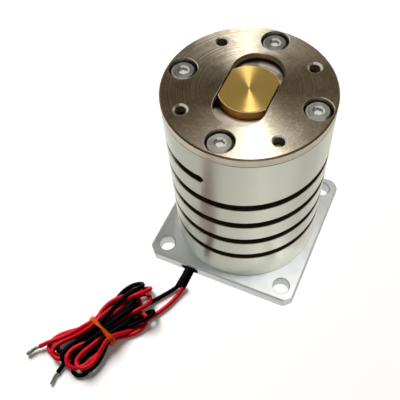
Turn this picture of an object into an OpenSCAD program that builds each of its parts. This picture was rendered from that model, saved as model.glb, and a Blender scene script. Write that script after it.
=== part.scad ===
// Voice coil motor with a machined spring as its wall.
// A fixed coil stands on the base plate; a magnet stack hangs from the round
// cover and slides on a brass post, carried by the helically slotted wall.
// Origin: centre of the base plate's underside. +Z up. Millimetres.

/* [Base plate] */
// Side of the square base plate
base_side = 43.6; // [43:0.2:48]
// Thickness of the base plate
base_t = 4; // [4:0.2:5]
// Distance between the corner mounting holes
hole_pitch = 35.2; // [34.6:0.2:36]
// Diameter of the corner mounting holes
hole_d = 4.5; // [3.4:0.1:4.8]
// Leg of the bevel on each upright corner
corner_cut = 2.2; // [0.6:0.1:2.6]
// Bevel along the plate's upper and lower edges
edge_cut = 0.4; // [0.2:0.1:0.6]

/* [Spring body] */
// Outer diameter of the slotted wall
body_d = 40; // [40:0.5:41]
// Height of the wall's top face above the table
body_top = 54.6; // [54.2:0.1:55]
// Thickness of the wall where it is slotted
wall_t = 3; // [2.4:0.1:3.2]
// Height of the helical slot
slot_h = 2.2; // [1.2:0.1:2.4]
// Rise of the helical slot in one turn
slot_pitch = 7.8; // [7.4:0.1:7.9]
// Turns of the helical slot
slot_turns = 4.5; // [3:0.25:4.5]
// Height of the slot's upper end
slot_top = 45.9; // [45.5:0.1:46]
// Bearing of the slot's upper end, in degrees from +X
slot_bearing = -101.6; // [-180:0.2:180]

/* [Cover] */
// Thickness of the round cover
cover_t = 2.4; // [2.4:0.1:3]
// Pitch circle of the cover's screws and threaded holes
cover_pcd = 32.3; // [32.2:0.1:32.8]
// Width of the rounded slot for the guide post
slot_w = 12; // [11.8:0.1:12.6]
// Length of the rounded slot for the guide post
slot_l = 22.8; // [20:0.2:23]
// Bore of the threaded load holes
load_hole_d = 2.5; // [2.4:0.1:2.6]

/* [Guide post] */
// Diameter of the brass guide post
post_d = 14.2; // [14:0.1:14.2]
// Distance across the post's two flats
post_flats = 11.3; // [11:0.1:11.5]
// Radial running clearance of the bushes on the post
run_fit = 0.05; // [0.02:0.01:0.09]

/* [Magnet and coil] */
// Outer diameter of the magnet stack
magnet_d = 24.4; // [23.6:0.1:24.6]
// Height of the magnet ring
magnet_h = 14; // [14:1:14]
// Outer diameter of the copper windings
coil_d = 29.4; // [27.4:0.1:29.6]

/* [Leads] */
// Diameter of one lead over its insulation
lead_d = 1.2; // [1:0.1:1.4]
// Diameter of the shrink sleeve over both leads
sleeve_d = 2.7; // [2.4:0.1:2.8]

/* [Hidden] */
$fn = 96;
e = 0.01;

body_r = body_d / 2;
inner_r = body_r - wall_t;
cover_top = body_top + cover_t;
cover_r = cover_pcd / 2;
post_r = post_d / 2;
pin_r = 6;                    // slim lower part of the post
shoulder_z = 21;              // where the post steps out to its full size
top_ring_z = 47.8;            // underside of the wall's thick upper ring
top_ring_r = 13.6;            // bore of the upper ring
seat_r = 14.4;                // seat for the carrier's flange
seat_t = 2;
low_ring_z = 9;               // top of the wall's thick lower ring
low_ring_r = 15.2;            // bore of the lower ring
base_screw_r = 17.6;
bobbin_screw_r = 13.8;
bobbin_screw_a = [45, 165, 285];
tube_r = 9;                   // carrier tube
tube_bore = 8.2;
lower_pole_z = 17;
pole_h = 4;
magnet_z = lower_pole_z + pole_h;
upper_pole_z = magnet_z + magnet_h;
spacer_z = upper_pole_z + pole_h;
former_in = 12.6;
former_out = 13.1;
exit_x = -8.6;                // the leads leave the base's -Y edge here
exit_z = 1.5;
lead_r = lead_d / 2;
sleeve_r = sleeve_d / 2;
sleeve_end = -28.4;

// hank on the table: centre, heading and height
hank_c = [-22.5, -48];
hank_a = -112.1;
hank_h = 5;

// routes of the free stretches of lead, by hand
red_route = [[-7.9, -28.4, 1.45], [-8.1, -30, 1.4], [-8.9, -33, 1.2], [-10.2, -36, 1.1], [-11.8, -38.4, 1.1], [-13.8, -40.6, 1.4]];
black_route = [[-9.3, -28.4, 1.45], [-9.5, -29.6, 1.4], [-10.8, -31.4, 1.4], [-12.4, -33.2, 1.7], [-14.4, -35.4, 2.2]];
red_end = [[-29.4, -52.2, 2], [-31.4, -53.8, 1.8], [-34.2, -56.4, 1.6], [-36.8, -58.4, 1.5]];
black_end = [[-26.8, -60, 1.4], [-27.1, -61.4, 1.3], [-27.5, -63, 1.2]];
red_bare = [[-36.8, -58.4, 1.5], [-37.6, -59.4, 1.4], [-38.2, -60.6, 1.1], [-38.5, -61.8, 0.8]];
black_bare = [[-27.5, -63, 1.2], [-27.8, -64.4, 1], [-28.2, -66.2, 0.7]];

// ---------------------------------------------------------------- shared shapes

// flat-head screw standing head down on z = 0
module flat_screw(head_r, shank_r, len, key) {
    difference() {
        union() {
            cylinder(r1 = head_r, r2 = shank_r, h = head_r - shank_r);
            cylinder(r = shank_r, h = len);
        }
        translate([0, 0, -e]) cylinder(d = key * 2 / sqrt(3), h = (head_r - shank_r) * 0.9, $fn = 6);
    }
}

// hole for that screw, through a plate above z = 0
module flat_hole(head_r, shank_r, z0, h) {
    translate([0, 0, -e]) cylinder(r = head_r, h = z0 + 2 * e);
    translate([0, 0, z0]) cylinder(r1 = head_r, r2 = shank_r, h = head_r - shank_r);
    translate([0, 0, z0]) cylinder(r = shank_r, h = h);
}

// ring with a square section
module ring(ri, ro, z0, z1) {
    translate([0, 0, z0]) difference() {
        cylinder(r = ro, h = z1 - z0);
        translate([0, 0, -e]) cylinder(r = ri, h = z1 - z0 + 2 * e);
    }
}

// slot outline along Y
module obround(w, l) {
    square([w, l - w], center = true);
    for (s = [-1, 1]) translate([0, s * (l - w) / 2]) circle(d = w);
}

// points of a smooth curve through the route's points, three steps a span
function cat(a, b, c, d, t) =
    0.5 * (2 * b + (c - a) * t + (2 * a - 5 * b + 4 * c - d) * t * t + (3 * b - a - 3 * c + d) * t * t * t);
function smooth(p, m) = [
    for (i = [0 : len(p) - 2], k = [0 : m - 1])
        cat(p[max(i - 1, 0)], p[i], p[i + 1], p[min(i + 2, len(p) - 1)], k / m),
    p[len(p) - 1]];
function unit(v) = v / norm(v);
function heading(p, i) = unit(p[min(i + 1, len(p) - 1)] - p[max(i - 1, 0)]);

// round tube along a route, radius r0 at its start and r1 at its end
module tube_along(route, r0, r1, m = 3, sides = 8) {
    p = smooth(route, m);
    n = len(p);
    pts = [for (i = [0 : n - 1])
        let (t = heading(p, i), s = unit(cross(t, [0, 0, 1])), u = cross(s, t), r = r0 + (r1 - r0) * i / (n - 1))
        for (k = [0 : sides - 1]) p[i] + r * (cos(k * 360 / sides) * s + sin(k * 360 / sides) * u)];
    faces = concat(
        [[for (k = [0 : sides - 1]) k]],
        [[for (k = [sides - 1 : -1 : 0]) (n - 1) * sides + k]],
        [for (i = [0 : n - 2], k = [0 : sides - 1])
            [i * sides + k, (i + 1) * sides + k, (i + 1) * sides + (k + 1) % sides, i * sides + (k + 1) % sides]]);
    polyhedron(points = pts, faces = faces, convexity = 6);
}

// solid that cuts the helical slot: a bar wound down round the axis
module helix_cutter() {
    steps = 40;
    n = floor(slot_turns * steps);
    r0 = inner_r - 1.2;
    r1 = body_r + 1.5;
    pts = [for (i = [0 : n])
        let (a = slot_bearing - i * 360 / steps, z = slot_top - i * slot_pitch / steps)
        for (c = [[r0, -1], [r1, -1], [r1, 1], [r0, 1]])
            [c[0] * cos(a), c[0] * sin(a), z + c[1] * slot_h / 2]];
    faces = concat(
        [[0, 1, 2, 3]],
        [[n * 4 + 3, n * 4 + 2, n * 4 + 1, n * 4]],
        [for (i = [0 : n - 1], k = [0 : 3])
            [i * 4 + k, (i + 1) * 4 + k, (i + 1) * 4 + (k + 1) % 4, i * 4 + (k + 1) % 4]]);
    polyhedron(points = pts, faces = faces, convexity = 10);
}

// ---------------------------------------------------------------- base

module plate_outline() {
    s = base_side / 2;
    c = corner_cut;
    polygon([[s - c, s], [s, s - c], [s, c - s], [s - c, -s], [c - s, -s], [-s, c - s], [-s, s - c], [c - s, s]]);
}

module base_plate() color([0.80, 0.81, 0.81]) difference() {
    union() {
        translate([0, 0, edge_cut]) linear_extrude(base_t - 2 * edge_cut) plate_outline();
        // bevelled upper and lower edges
        for (m = [0, 1]) translate([0, 0, m * base_t]) mirror([0, 0, m]) intersection() {
            linear_extrude(edge_cut) plate_outline();
            edge_taper();
        }
    }
    for (x = [-1, 1], y = [-1, 1]) translate([x * hole_pitch / 2, y * hole_pitch / 2, 0]) {
        translate([0, 0, -1]) cylinder(d = hole_d, h = base_t + 2);
        translate([0, 0, base_t - 0.2]) cylinder(d1 = hole_d, d2 = hole_d + 0.6, h = 0.3);
    }
    for (a = [0 : 90 : 270]) rotate(a) translate([base_screw_r, 0, 0]) flat_hole(2.95, 1.6, 0.15, base_t + 1);
    for (a = bobbin_screw_a) rotate(a) translate([bobbin_screw_r, 0, 0]) flat_hole(1.95, 1.1, 0.15, base_t + 1);
    flat_hole(4.75, 2.65, 0.2, base_t + 1);
    translate([0, 0, base_t - 1]) cylinder(r = 4.05, h = 2);
    // cable groove in the underside, open at the -Y edge
    translate([exit_x - 2.5, -base_side / 2 - 1, -1]) cube([5, base_side / 2 - 10.5, 4]);
    translate([exit_x, -11.5, -1]) cylinder(r = 2.5, h = 4);
    translate([exit_x, -10.8, 0]) cylinder(r = 1.3, h = base_t + 1);
}

// square pyramid frustum whose sides slope at 45 degrees
module edge_taper() {
    s = base_side / 2;
    intersection() {
        rotate([90, 0, 0]) linear_extrude(base_side + 2, center = true)
            polygon([[edge_cut - s, 0], [s - edge_cut, 0], [s, edge_cut], [-s, edge_cut]]);
        rotate([90, 0, 90]) linear_extrude(base_side + 2, center = true)
            polygon([[edge_cut - s, 0], [s - edge_cut, 0], [s, edge_cut], [-s, edge_cut]]);
    }
}

module base_screws() color([0.30, 0.30, 0.31])
    for (a = [0 : 90 : 270]) rotate(a) translate([base_screw_r, 0, 0.15]) flat_screw(2.9, 1.25, 8, 2);

module bobbin_screws() color([0.30, 0.30, 0.31])
    for (a = bobbin_screw_a) rotate(a) translate([bobbin_screw_r, 0, 0.15]) flat_screw(1.9, 0.95, 7, 1.3);

module guide_post_screw() color([0.30, 0.30, 0.31])
    translate([0, 0, 0.2]) flat_screw(4.7, 2.5, 14, 3);

// ---------------------------------------------------------------- spring body and cover

module spring_body() color([0.72, 0.71, 0.64]) difference() {
    translate([0, 0, base_t]) cylinder(r = body_r, h = body_top - base_t);
    translate([0, 0, low_ring_z]) cylinder(r = inner_r, h = top_ring_z - low_ring_z);
    translate([0, 0, base_t - 1]) cylinder(r = low_ring_r, h = low_ring_z - base_t + 1 + e);
    translate([0, 0, top_ring_z - e]) cylinder(r = top_ring_r, h = body_top - top_ring_z + 1);
    translate([0, 0, body_top - seat_t]) cylinder(r = seat_r, h = seat_t + 1);
    for (a = [0 : 90 : 270]) {
        rotate(a) translate([base_screw_r, 0, base_t - 1]) cylinder(r = 1.3, h = low_ring_z - base_t + 0.5);
        rotate(a) translate([cover_r, 0, body_top - 5.8]) cylinder(r = 1.3, h = 7);
        rotate(a + 45) translate([cover_r, 0, body_top - 5]) cylinder(r = 1.6, h = 6);
    }
    helix_cutter();
    // relief holes that end the slot
    for (k = [0, 1]) rotate(slot_bearing - k * 360 * slot_turns)
        translate([inner_r - 1.2, 0, slot_top - k * slot_turns * slot_pitch])
            rotate([0, 90, 0]) cylinder(d = slot_h + 0.2, h = wall_t + 2.7);
}

module top_cover() color([0.71, 0.68, 0.60]) difference() {
    translate([0, 0, body_top]) rotate_extrude()
        polygon([[0, 0], [body_r, 0], [body_r, cover_t - 0.35], [body_r - 0.35, cover_t], [0, cover_t]]);
    translate([0, 0, body_top - 1]) linear_extrude(cover_t + 2) obround(slot_w, slot_l);
    // bevel round the rounded slot
    for (s = [-1, 1]) translate([0, s * (slot_l - slot_w) / 2, cover_top - 0.15])
        cylinder(d1 = slot_w, d2 = slot_w + 0.5, h = 0.25);
    translate([0, 0, cover_top - 0.15]) rotate([90, 0, 0]) linear_extrude(slot_l - slot_w, center = true)
        polygon([[-slot_w / 2, 0], [slot_w / 2, 0], [slot_w / 2 + 0.25, 0.25], [-slot_w / 2 - 0.25, 0.25]]);
    for (a = [0 : 90 : 270]) {
        rotate(a) translate([cover_r, 0, body_top - 1]) cylinder(r = 1.7, h = cover_t + 2);
        rotate(a) translate([cover_r, 0, cover_top - 1.75]) cylinder(r = 3.35, h = 2);
        rotate(a + 45) translate([cover_r, 0, body_top - 1]) cylinder(d = load_hole_d, h = cover_t + 2);
        rotate(a + 45) translate([cover_r, 0, cover_top - 0.4]) cylinder(d1 = load_hole_d, d2 = load_hole_d + 1, h = 0.5);
    }
}

module cover_screws() color([0.66, 0.67, 0.66])
    for (a = [0 : 90 : 270]) rotate(a) translate([cover_r, 0, cover_top - 1.75]) difference() {
        union() {
            rotate_extrude() polygon([[0, 0], [2.75, 0], [2.75, 0.95], [2.45, 1.25], [0, 1.25]]);
            translate([0, 0, -6]) cylinder(r = 1.25, h = 6 + e);
        }
        translate([0, 0, 0.3]) cylinder(d = 2 * 2 / sqrt(3), h = 2, $fn = 6);
        translate([0, 0, 1.05]) cylinder(r1 = 1.1, r2 = 1.4, h = 0.3);
    }

// ---------------------------------------------------------------- guide post

module guide_post() color([0.79, 0.62, 0.28]) difference() {
    rotate_extrude() polygon([[0, base_t - 0.9], [4, base_t - 0.9], [4, base_t], [pin_r, base_t], [pin_r, shoulder_z],
        [post_r, shoulder_z], [post_r, cover_top - 0.2], [post_r - 0.2, cover_top], [0, cover_top]]);
    for (s = [-1, 1]) translate([s * (post_flats / 2 + 5), 0, cover_top]) cube([10, 20, 36], center = true);
    translate([0, 0, base_t - 2]) cylinder(r = 2.55, h = 13);
}

// ---------------------------------------------------------------- moving magnet stack

module magnet_carrier() color([0.78, 0.77, 0.74]) difference() {
    union() {
        translate([0, 0, body_top - seat_t]) cylinder(r = seat_r - 0.1, h = seat_t);
        translate([0, 0, 11]) cylinder(r = tube_r, h = body_top - 11 - e);
    }
    translate([0, 0, 10]) cylinder(r = tube_bore, h = body_top - seat_t - 10);
    translate([0, 0, 40]) cylinder(r = post_r + 0.25, h = 20);
}

module upper_bush() color([0.25, 0.27, 0.27]) ring(post_r + run_fit, tube_bore, body_top - seat_t - 7, body_top - seat_t);
module lower_bush() color([0.25, 0.27, 0.27]) ring(pin_r + run_fit, tube_bore, 11, 18.4);
module magnet_ring() color([0.62, 0.63, 0.65]) ring(tube_r + 0.05, magnet_d / 2, magnet_z, upper_pole_z);
module upper_pole() color([0.45, 0.46, 0.48]) ring(tube_r + 0.05, magnet_d / 2, upper_pole_z, spacer_z);
module lower_pole() color([0.45, 0.46, 0.48]) ring(tube_r + 0.05, magnet_d / 2, lower_pole_z, magnet_z);
module magnet_spacer() color([0.75, 0.76, 0.77]) ring(tube_r + 0.05, 10.6, spacer_z, body_top - seat_t);
module clamp_nut() color([0.55, 0.55, 0.56]) difference() {
    ring(tube_r + 0.05, 11.6, 13, lower_pole_z);
    for (a = [0 : 90 : 270]) rotate(a) translate([10.9, -0.9, 12.9]) cube([2, 1.8, 2]);
}

// ---------------------------------------------------------------- fixed coil

module coil_bobbin() color([0.16, 0.16, 0.17]) difference() {
    union() {
        ring(former_in, former_out, base_t, 45);
        ring(former_in, 15, base_t, 8);
        for (z = [11, 27.5, 44]) ring(former_in, 15, z, z + 1);
    }
    for (a = bobbin_screw_a) rotate(a) translate([bobbin_screw_r, 0, base_t - 1]) cylinder(r = 1, h = 4.4);
    translate([exit_x, -10.8, base_t - 1]) cylinder(r = 1, h = 5.5);
}

module lower_coil() color([0.72, 0.38, 0.20]) ring(former_out + 0.05, coil_d / 2, 12.05, 27.45);
module upper_coil() color([0.72, 0.38, 0.20]) ring(former_out + 0.05, coil_d / 2, 28.55, 43.95);

module coil_leads() color([0.60, 0.30, 0.16])
    for (s = [-1, 1]) translate([exit_x + s * 0.48, -10.8, exit_z]) {
        cylinder(r = 0.4, h = 9.4);
        sphere(r = 0.4);
        rotate([90, 0, 0]) cylinder(r = 0.4, h = 5.7);
    }

module lower_bumper() color([0.12, 0.12, 0.12]) ring(pin_r + 0.3, 8.8, base_t, 8.4);

// ---------------------------------------------------------------- leads

module cable_grommet() color([0.07, 0.07, 0.07]) difference() {
    translate([exit_x - 2.45, -base_side / 2 + 0.1, 0.05]) cube([4.9, 5, 2.9]);
    translate([exit_x, -base_side / 2 + 6, exit_z]) rotate([90, 0, 0]) cylinder(r = sleeve_r, h = 8);
}

module lead_sleeve() color([0.05, 0.05, 0.05])
    translate([exit_x, -16.5, exit_z]) rotate([90, 0, 0]) cylinder(r = sleeve_r, h = -sleeve_end - 16.5);

module red_lead() color([0.78, 0.05, 0.10]) tube_along(red_route, lead_r, lead_r);
module black_lead() color([0.06, 0.06, 0.06]) tube_along(black_route, lead_r, lead_r);
module red_tail() color([0.78, 0.05, 0.10]) tube_along(red_end, lead_r, lead_r);
module black_tail() color([0.06, 0.06, 0.06]) tube_along(black_end, lead_r, lead_r);
module red_tip() color([0.62, 0.62, 0.60]) tube_along(red_bare, 0.4, 0.6);
module black_tip() color([0.62, 0.62, 0.60]) tube_along(black_bare, 0.4, 0.45);

// two lobes and a waist, the outer shape of the folded leads
module lead_hank() color([0.45, 0.05, 0.08]) translate([hank_c[0], hank_c[1], 0]) rotate(hank_a) {
    linear_extrude(hank_h) {
        translate([-12.6, 0]) circle(r = 5.6);
        translate([-12.6, -5.6]) square([10.6, 11.2]);
        translate([9.2, 0]) circle(r = 6.2);
        translate([2, -6.2]) square([7.2, 12.4]);
    }
    translate([-3, -4.2, 0.7]) cube([6, 8.4, 3.6]);
}

// band round the waist, lying just clear of the table
module rubber_band() color([0.90, 0.42, 0.06]) translate([hank_c[0], hank_c[1], 0]) rotate(hank_a)
    rotate([90, 0, 90]) linear_extrude(2.4, center = true) difference() {
        union() {
            translate([-4.2, 0.1]) square([8.4, 4.8]);
            translate([-4.8, 0.7]) square([9.6, 3.6]);
            for (x = [-4.2, 4.2], y = [0.7, 4.3]) translate([x, y]) circle(r = 0.6);
        }
        translate([-4.2, 0.7]) square([8.4, 3.6]);
    }

// ---------------------------------------------------------------- drawing

base_plate();
base_screws();
spring_body();
top_cover();
cover_screws();
guide_post();
guide_post_screw();
magnet_carrier();
upper_bush();
lower_bush();
magnet_ring();
upper_pole();
lower_pole();
magnet_spacer();
clamp_nut();
coil_bobbin();
upper_coil();
lower_coil();
bobbin_screws();
coil_leads();
lower_bumper();
cable_grommet();
lead_sleeve();
red_lead();
black_lead();
lead_hank();
rubber_band();
red_tail();
black_tail();
red_tip();
black_tip();
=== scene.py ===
import math

import bmesh
import bpy
import numpy as np
from mathutils import Matrix, Vector


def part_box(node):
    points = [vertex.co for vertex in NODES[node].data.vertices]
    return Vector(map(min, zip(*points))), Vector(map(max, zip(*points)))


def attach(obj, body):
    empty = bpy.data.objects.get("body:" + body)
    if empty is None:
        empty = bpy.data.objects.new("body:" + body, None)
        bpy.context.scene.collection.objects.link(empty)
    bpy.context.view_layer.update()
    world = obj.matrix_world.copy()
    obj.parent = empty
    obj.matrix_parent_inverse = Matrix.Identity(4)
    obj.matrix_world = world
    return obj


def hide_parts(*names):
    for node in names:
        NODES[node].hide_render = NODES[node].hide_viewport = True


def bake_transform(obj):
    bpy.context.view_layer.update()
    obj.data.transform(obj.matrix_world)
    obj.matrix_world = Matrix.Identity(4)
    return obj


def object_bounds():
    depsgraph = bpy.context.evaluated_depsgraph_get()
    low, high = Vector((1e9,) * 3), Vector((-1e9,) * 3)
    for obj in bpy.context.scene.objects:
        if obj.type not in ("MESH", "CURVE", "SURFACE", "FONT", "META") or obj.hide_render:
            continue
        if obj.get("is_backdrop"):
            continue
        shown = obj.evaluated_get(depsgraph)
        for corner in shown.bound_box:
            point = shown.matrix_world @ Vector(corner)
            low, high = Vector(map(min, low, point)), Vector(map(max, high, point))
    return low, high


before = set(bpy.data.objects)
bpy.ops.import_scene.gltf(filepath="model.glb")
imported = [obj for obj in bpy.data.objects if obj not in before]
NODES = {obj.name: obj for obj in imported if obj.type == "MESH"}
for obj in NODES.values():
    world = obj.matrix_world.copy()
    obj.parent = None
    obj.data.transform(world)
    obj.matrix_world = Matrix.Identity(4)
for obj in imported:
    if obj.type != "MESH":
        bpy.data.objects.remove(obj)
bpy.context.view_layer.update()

MM = 0.001
scene = bpy.context.scene

# ---------------------------------------------------------------- camera

def make_camera():
    """The photograph's view: place and axes of the camera in millimetres, focal length in pixels of a 400 pixel frame."""
    pos = Vector((33.6948, -86.7285, 153.401)) * MM
    fwd = Vector((-0.224559, 0.464741, -0.856498)).normalized()
    up = Vector((-0.329482, 0.790968, 0.515569))
    right = fwd.cross(up).normalized()
    up = right.cross(fwd)
    data = bpy.data.cameras.new("camera")
    data.sensor_fit = "HORIZONTAL"
    data.sensor_width = 36.0
    data.lens = 590.538 / 400 * 36.0
    data.shift_x = -22 / 400
    data.shift_y = 24 / 400
    data.clip_start, data.clip_end = 0.004, 20
    cam = bpy.data.objects.new("camera", data)
    m = Matrix((right, up, -fwd)).transposed().to_4x4()
    m.translation = pos
    cam.matrix_world = m
    scene.collection.objects.link(cam)
    scene.camera = cam


make_camera()

# ---------------------------------------------------------------- mesh helpers

def obj_from(name, verts, faces, material, sharp=32.0, fix=True):
    """A smooth-shaded mesh object with sharp edges above an angle; verts in millimetres."""
    me = bpy.data.meshes.new(name)
    me.from_pydata([tuple(float(c) * MM for c in v) for v in verts], [], faces)
    me.validate()
    if fix:
        bm = bmesh.new()
        bm.from_mesh(me)
        bmesh.ops.recalc_face_normals(bm, faces=bm.faces)
        bm.to_mesh(me)
        bm.free()
    me.polygons.foreach_set("use_smooth", [True] * len(me.polygons))
    me.set_sharp_from_angle(angle=math.radians(sharp))
    me.materials.append(material)
    me.update()
    ob = bpy.data.objects.new(name, me)
    scene.collection.objects.link(ob)
    return ob


def frames_along(path, start=None, closed=False):
    """Tangents and two normals carried along a path without twist."""
    p = np.asarray(path, float)
    if closed:
        t = np.roll(p, -1, 0) - np.roll(p, 1, 0)
    else:
        t = np.gradient(p, axis=0)
    t /= np.linalg.norm(t, axis=1)[:, None]
    n = np.zeros_like(p)
    ref = np.array(start if start is not None else (0, 0, 1.0), float)
    v = ref - (ref @ t[0]) * t[0]
    if np.linalg.norm(v) < 1e-6:
        v = np.array((1.0, 0, 0)) - t[0][0] * t[0]
    n[0] = v / np.linalg.norm(v)
    for i in range(1, len(p)):
        v = n[i - 1] - (n[i - 1] @ t[i]) * t[i]
        n[i] = v / np.linalg.norm(v)
    return t, n, np.cross(t, n)


def sweep(path, section, closed=False, start=None, caps=True):
    """Rings of section(i, f) -> [(a, b)...] along a path; a is along the first normal, b along the second."""
    t, n, b = frames_along(path, start, closed)
    count = len(path)
    verts, faces = [], []
    m = None
    for i in range(count):
        sec = section(i, i / max(count - 1, 1))
        m = len(sec)
        for u, w in sec:
            verts.append(np.asarray(path[i]) + u * n[i] + w * b[i])
    last = count if closed else count - 1
    for i in range(last):
        j = (i + 1) % count
        for k in range(m):
            l = (k + 1) % m
            faces.append((i * m + k, i * m + l, j * m + l, j * m + k))
    if caps and not closed:
        faces.append(tuple(range(m)))
        faces.append(tuple((count - 1) * m + k for k in range(m)))
    return verts, faces


def circle(r, m, ry=None, turn=0.0):
    ry = r if ry is None else ry
    return [(r * math.cos(2 * math.pi * k / m + turn), ry * math.sin(2 * math.pi * k / m + turn)) for k in range(m)]


def lathe(profile, n=128, closed=True):
    """A closed (r, z) outline turned about the Z axis."""
    verts, faces = [], []
    m = len(profile)
    for i in range(n):
        a = 2 * math.pi * i / n
        c, s = math.cos(a), math.sin(a)
        verts += [(r * c, r * s, z) for r, z in profile]
    for i in range(n):
        j = (i + 1) % n
        for k in range(m if closed else m - 1):
            l = (k + 1) % m
            faces.append((i * m + k, j * m + k, j * m + l, i * m + l))
    return verts, faces


def arc(cx, cz, r, a0, a1, n):
    """Points of an arc in the (r, z) plane, angles in degrees."""
    return [(cx + r * math.cos(math.radians(a0 + (a1 - a0) * i / n)), cz + r * math.sin(math.radians(a0 + (a1 - a0) * i / n))) for i in range(n + 1)]


# ---------------------------------------------------------------- materials

class Mat:
    """A principled material with short names for the nodes that feed it."""

    def __init__(self, name, **sockets):
        self.m = bpy.data.materials.new(name)
        self.m.use_nodes = True
        self.t = self.m.node_tree
        self.t.nodes.clear()
        self.out = self.new("ShaderNodeOutputMaterial")
        self.b = self.new("ShaderNodeBsdfPrincipled")
        self.t.links.new(self.b.outputs["BSDF"], self.out.inputs["Surface"])
        for k, v in sockets.items():
            self.b.inputs[k.replace("_", " ")].default_value = v
        self._co = None

    def new(self, kind, **props):
        n = self.t.nodes.new(kind)
        for k, v in props.items():
            setattr(n, k, v)
        return n

    def put(self, node, **inputs):
        for k, v in inputs.items():
            s = node.inputs[int(k[1:])] if k[0] == "i" and k[1:].isdigit() else node.inputs[k.replace("_", " ")]
            if isinstance(v, bpy.types.NodeSocket):
                self.t.links.new(v, s)
            else:
                s.default_value = v
        return node

    def co(self):
        """Place on the object, in metres."""
        if self._co is None:
            self._co = self.new("ShaderNodeTexCoord").outputs["Object"]
        return self._co

    def xyz(self):
        n = self.put(self.new("ShaderNodeSeparateXYZ"), i0=self.co())
        return n.outputs[0], n.outputs[1], n.outputs[2]

    def math(self, op, a, b=0.0, c=0.0):
        return self.put(self.new("ShaderNodeMath", operation=op), i0=a, i1=b, i2=c).outputs[0]

    def noise(self, scale, detail=3.0, rough=0.55, vec=None, w=None, distortion=0.0):
        n = self.new("ShaderNodeTexNoise", noise_dimensions="1D" if w is not None else "3D")
        self.put(n, Scale=scale, Detail=detail, Roughness=rough, Distortion=distortion)
        if w is not None:
            self.put(n, W=w)
        else:
            self.put(n, Vector=vec if vec is not None else self.co())
        return n.outputs[0]

    def ramp(self, fac, *stops):
        """Colours at places along a 0 to 1 input."""
        n = self.new("ShaderNodeValToRGB")
        e = n.color_ramp.elements
        while len(e) < len(stops):
            e.new(0.5)
        for el, (at, col) in zip(e, stops):
            el.position = at
            el.color = (*col, 1.0) if hasattr(col, "__len__") else (col, col, col, 1.0)
        self.put(n, i0=fac)
        return n.outputs[0]

    def span(self, fac, lo, hi, f0=0.3, f1=0.7):
        n = self.new("ShaderNodeMapRange")
        self.put(n, i0=fac, i1=f0, i2=f1, i3=lo, i4=hi)
        return n.outputs[0]

    def bump(self, height, strength, distance, normal=None):
        n = self.put(self.new("ShaderNodeBump"), Strength=strength, Distance=distance, Height=height)
        if normal is not None:
            self.put(n, Normal=normal)
        return n.outputs[0]

    def blend(self, fac, a, b):
        """Colour a where fac is 0, colour b where it is 1."""
        n = self.new("ShaderNodeMix", data_type="RGBA")
        self.put(n, i0=fac, i6=a if isinstance(a, bpy.types.NodeSocket) else (*a, 1.0), i7=b if isinstance(b, bpy.types.NodeSocket) else (*b, 1.0))
        return n.outputs[2]

    def step(self, value, edge, soft):
        """Rises from 0 to 1 over a distance soft round edge; falls when soft is negative."""
        n = self.new("ShaderNodeMapRange")
        n.interpolation_type = "SMOOTHSTEP"
        lo, hi = (0.0, 1.0) if soft > 0 else (1.0, 0.0)
        self.put(n, i0=value, i1=edge - abs(soft) / 2, i2=edge + abs(soft) / 2, i3=lo, i4=hi)
        return n.outputs[0]

    def set(self, **inputs):
        return self.put(self.b, **inputs)

    def radial(self):
        """Tangent round the Z axis through the middle of the piece."""
        return self.new("ShaderNodeTangent", direction_type="RADIAL", axis="Z").outputs[0]


def shade(col, k):
    return tuple(min(c * k, 1.0) for c in col)


def turned(name, col, rough=0.3, aniso=0.75, marks=5.0, depth=1.0, spread=0.10, stain=0.06, metallic=1.0, tint=None):
    """Metal finished on a lathe: fine rings on faces and round walls, stretched highlights, faint stains."""
    m = Mat(name, Metallic=metallic, Anisotropic=aniso, Anisotropic_Rotation=0.25)
    x, y, z = m.xyz()
    r = m.math("SQRT", m.math("ADD", m.math("MULTIPLY", x, x), m.math("MULTIPLY", y, y)))
    w = m.math("MULTIPLY", m.math("ADD", r, z), 1000.0)
    fine = m.noise(marks, 2.0, 0.7, w=w)
    wide = m.noise(0.9, 3.0, 0.6, w=w)
    blot = m.noise(160.0, 4.0, 0.6)
    speck = m.noise(2600.0, 2.0, 0.5)
    mixed = m.math("ADD", m.math("MULTIPLY", fine, 0.5), m.math("ADD", m.math("MULTIPLY", wide, 0.25), m.math("MULTIPLY", blot, 0.25)))
    colour = m.ramp(mixed, (0.30, shade(col, 1 - spread)), (0.52, col), (0.74, shade(col, 1 + spread * 0.8)))
    m.set(Base_Color=tint(m, colour, r, z) if tint else colour)
    rg = m.math("ADD", m.math("MULTIPLY", fine, 0.6), m.math("MULTIPLY", blot, 0.4))
    m.set(Roughness=m.span(rg, rough * (1 - stain * 2.5), rough * (1 + stain * 2.5)))
    n = m.bump(fine, 0.30 * depth, 0.00003)
    n = m.bump(wide, 0.18 * depth, 0.00006, n)
    n = m.bump(speck, 0.05, 0.00002, n)
    m.set(Normal=n, Tangent=m.radial())
    return m.m


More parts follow.
